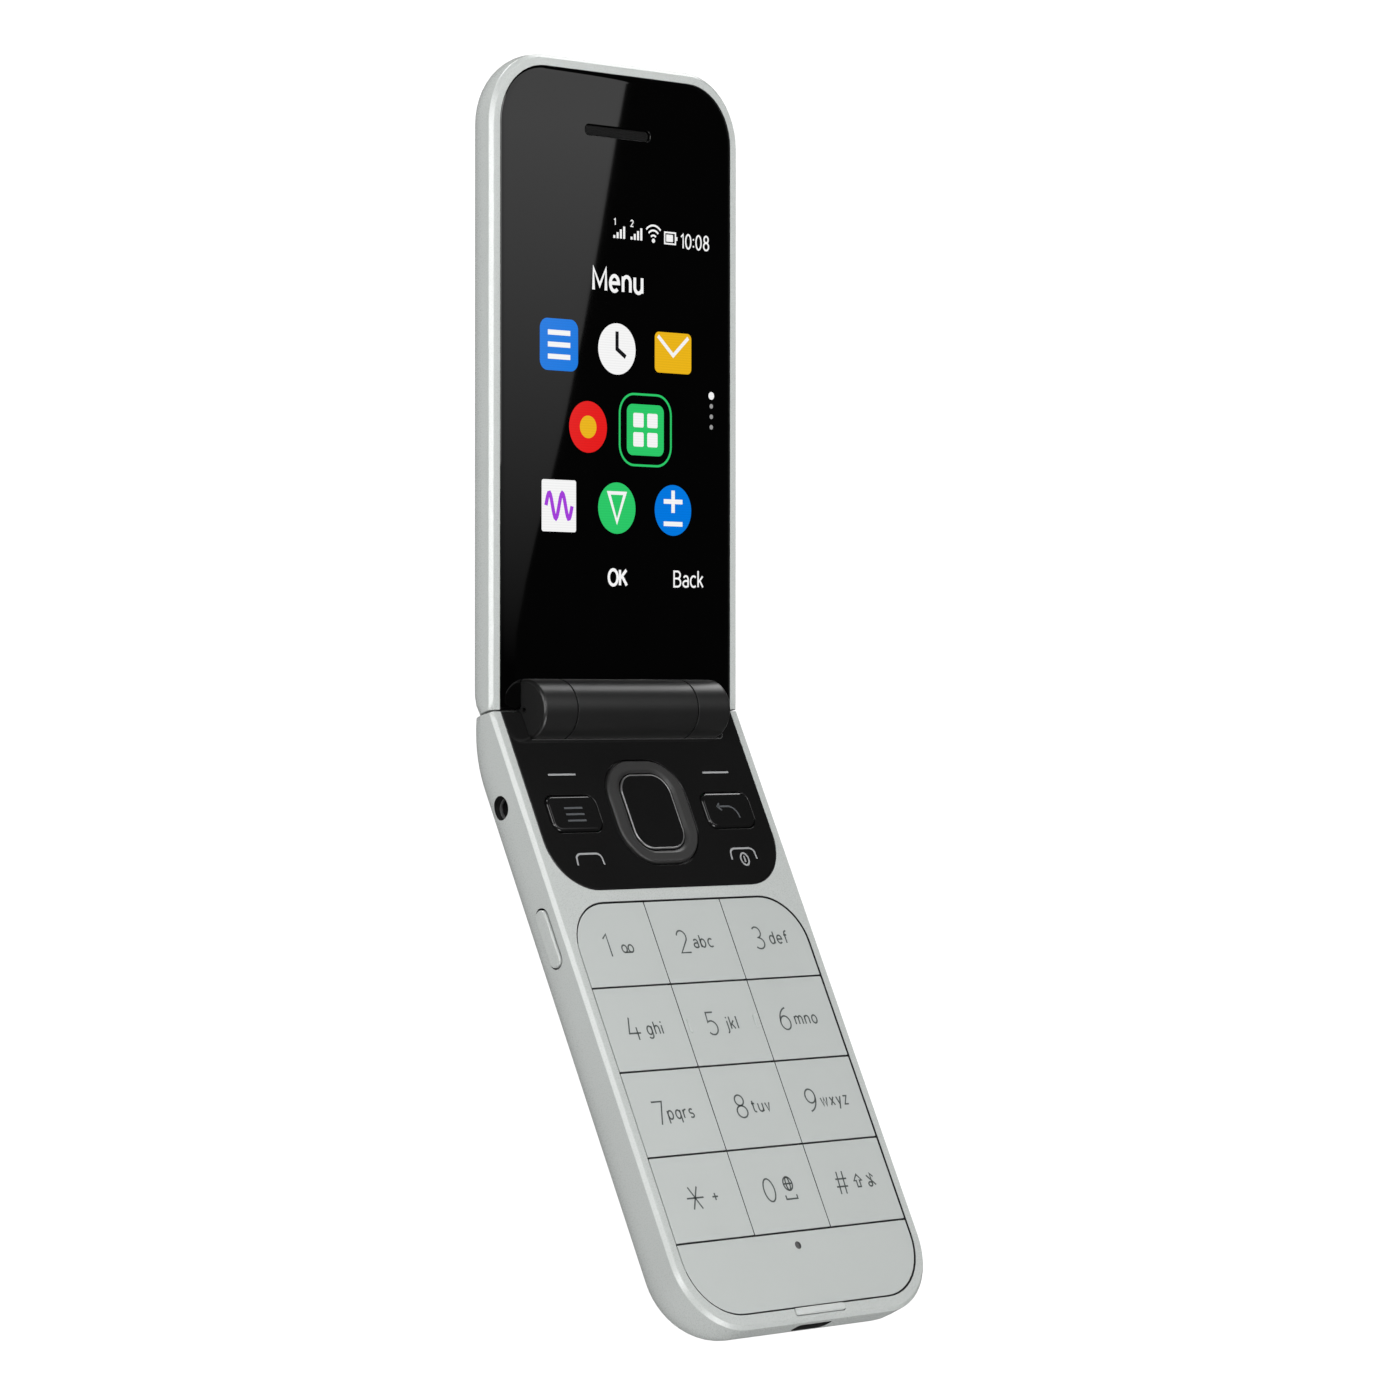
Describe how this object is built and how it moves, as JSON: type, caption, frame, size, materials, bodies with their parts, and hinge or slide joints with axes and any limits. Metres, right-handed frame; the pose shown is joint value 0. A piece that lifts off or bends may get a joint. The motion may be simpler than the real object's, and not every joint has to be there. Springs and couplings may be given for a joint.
{
  "type": "flip phone",
  "caption": "Folding mobile phone, open on its hinge stop, with a keypad base, a control panel with a direction ring, and a lid that carries the screen.",
  "frame": {"origin": "on the flat back of the base, midway between its hinge axis and its bottom end", "axes": "+X to the right seen from the keypad side, +Y from the bottom end towards the lid, +Z out of the keypad face"},
  "size_m": [0.0552, 0.1974, 0.0563],
  "materials": {
    "shell": "fine satin, light warm grey",
    "panel": "polished black",
    "window": "polished black window",
    "satin": "dark grey satin",
    "rubber": "silicone sheet",
    "board": "solder resist",
    "metal": "plain sheet and turned steel",
    "cell": "wrapped cell",
    "display": "display panel",
    "module": "moulded black plastic",
    "gold": "gilt contacts",
    "clear": "clear lens"
  },
  "bodies": {
    "base": {"base_housing": "shell", "rear_cover": "shell", "control_panel": "panel", "chin_plate": "shell", "key_mat": "rubber", "dome_switches": "metal", "main_board": "board", "shield_can": "metal", "card_reader": "metal", "battery": "cell", "charging_socket": "metal", "headphone_socket": "module", "loudspeaker": "module", "microphone": "gold", "vibration_motor": "metal", "base_screws": "metal", "closing_bumper": "shell", "hinge_barrel": "satin", "hinge_can": "metal", "hinge_spring": "metal"},
    "lid": {"lid_frame": "shell", "lid_cover": "shell", "screen_glass": "window", "display_module": "display", "earpiece": "module", "earpiece_mesh": "module", "outer_window": "window", "outer_display": "display", "camera_module": "module", "camera_lens": "window", "flash_lens": "clear", "lid_board": "board", "lid_magnet": "metal", "lid_screws": "metal", "knuckle_left": "satin", "knuckle_right": "satin", "hinge_shaft": "metal", "hinge_sleeve": "metal", "hinge_flat_cable": "gold"},
    "key_1": {"key_1": "shell"},
    "key_2": {"key_2": "shell"},
    "key_3": {"key_3": "shell"},
    "key_4": {"key_4": "shell"},
    "key_5": {"key_5": "shell"},
    "key_6": {"key_6": "shell"},
    "key_7": {"key_7": "shell"},
    "key_8": {"key_8": "shell"},
    "key_9": {"key_9": "shell"},
    "key_star": {"key_star": "shell"},
    "key_0": {"key_0": "shell"},
    "key_hash": {"key_hash": "shell"},
    "ring_carrier": {"ring_carrier": "satin"},
    "direction_ring": {"direction_ring": "satin"},
    "centre_key": {"centre_key": "panel"},
    "menu_key": {"menu_key": "panel"},
    "back_key": {"back_key": "panel"},
    "side_key": {"side_key": "shell"},
    "volume_key": {"volume_key": "shell"}
  },
  "joints": [
    {"name": "lid_hinge", "type": "hinge", "parent": "base", "child": "lid", "pos_m": [0, 0.0517, 0.01135], "axis": [1, 0, 0], "range_deg": [0, 153.8]},
    {"name": "key_1_press", "type": "slide", "parent": "base", "child": "key_1", "axis": [0, 0, -1], "range_m": [0, 0.00025], "stiffness_N_per_m": 400, "springref_m": -0.0001},
    {"name": "key_2_press", "type": "slide", "parent": "base", "child": "key_2", "axis": [0, 0, -1], "range_m": [0, 0.00025], "stiffness_N_per_m": 400, "springref_m": -0.0001},
    {"name": "key_3_press", "type": "slide", "parent": "base", "child": "key_3", "axis": [0, 0, -1], "range_m": [0, 0.00025], "stiffness_N_per_m": 400, "springref_m": -0.0001},
    {"name": "key_4_press", "type": "slide", "parent": "base", "child": "key_4", "axis": [0, 0, -1], "range_m": [0, 0.00025], "stiffness_N_per_m": 400, "springref_m": -0.0001},
    {"name": "key_5_press", "type": "slide", "parent": "base", "child": "key_5", "axis": [0, 0, -1], "range_m": [0, 0.00025], "stiffness_N_per_m": 400, "springref_m": -0.0001},
    {"name": "key_6_press", "type": "slide", "parent": "base", "child": "key_6", "axis": [0, 0, -1], "range_m": [0, 0.00025], "stiffness_N_per_m": 400, "springref_m": -0.0001},
    {"name": "key_7_press", "type": "slide", "parent": "base", "child": "key_7", "axis": [0, 0, -1], "range_m": [0, 0.00025], "stiffness_N_per_m": 400, "springref_m": -0.0001},
    {"name": "key_8_press", "type": "slide", "parent": "base", "child": "key_8", "axis": [0, 0, -1], "range_m": [0, 0.00025], "stiffness_N_per_m": 400, "springref_m": -0.0001},
    {"name": "key_9_press", "type": "slide", "parent": "base", "child": "key_9", "axis": [0, 0, -1], "range_m": [0, 0.00025], "stiffness_N_per_m": 400, "springref_m": -0.0001},
    {"name": "key_star_press", "type": "slide", "parent": "base", "child": "key_star", "axis": [0, 0, -1], "range_m": [0, 0.00025], "stiffness_N_per_m": 400, "springref_m": -0.0001},
    {"name": "key_0_press", "type": "slide", "parent": "base", "child": "key_0", "axis": [0, 0, -1], "range_m": [0, 0.00025], "stiffness_N_per_m": 400, "springref_m": -0.0001},
    {"name": "key_hash_press", "type": "slide", "parent": "base", "child": "key_hash", "axis": [0, 0, -1], "range_m": [0, 0.00025], "stiffness_N_per_m": 400, "springref_m": -0.0001},
    {"name": "centre_key_press", "type": "slide", "parent": "base", "child": "centre_key", "axis": [0, 0, -1], "range_m": [0, 0.00025], "stiffness_N_per_m": 400, "springref_m": -0.0001},
    {"name": "menu_key_press", "type": "slide", "parent": "base", "child": "menu_key", "axis": [0, 0, -1], "range_m": [0, 0.00025], "stiffness_N_per_m": 400, "springref_m": -0.0001},
    {"name": "back_key_press", "type": "slide", "parent": "base", "child": "back_key", "axis": [0, 0, -1], "range_m": [0, 0.00025], "stiffness_N_per_m": 400, "springref_m": -0.0001},
    {"name": "side_key_press", "type": "slide", "parent": "base", "child": "side_key", "axis": [1, 0, 0], "range_m": [0, 0.0003], "stiffness_N_per_m": 400, "springref_m": -0.0001},
    {"name": "volume_rock", "type": "hinge", "parent": "base", "child": "volume_key", "pos_m": [0.0258, 0.01445, 0.0074], "axis": [0, 0, 1], "range_deg": [-1, 1], "stiffness_Nm_per_rad": 0.3},
    {"name": "ring_up_down", "type": "hinge", "parent": "base", "child": "ring_carrier", "pos_m": [0, 0.03385, 0.01], "axis": [1, 0, 0], "range_deg": [-1, 1], "stiffness_Nm_per_rad": 0.3},
    {"name": "ring_left_right", "type": "hinge", "parent": "ring_carrier", "child": "direction_ring", "pos_m": [0, 0.03385, 0.01], "axis": [0, 1, 0], "range_deg": [-1, 1], "stiffness_Nm_per_rad": 0.3}
  ]
}
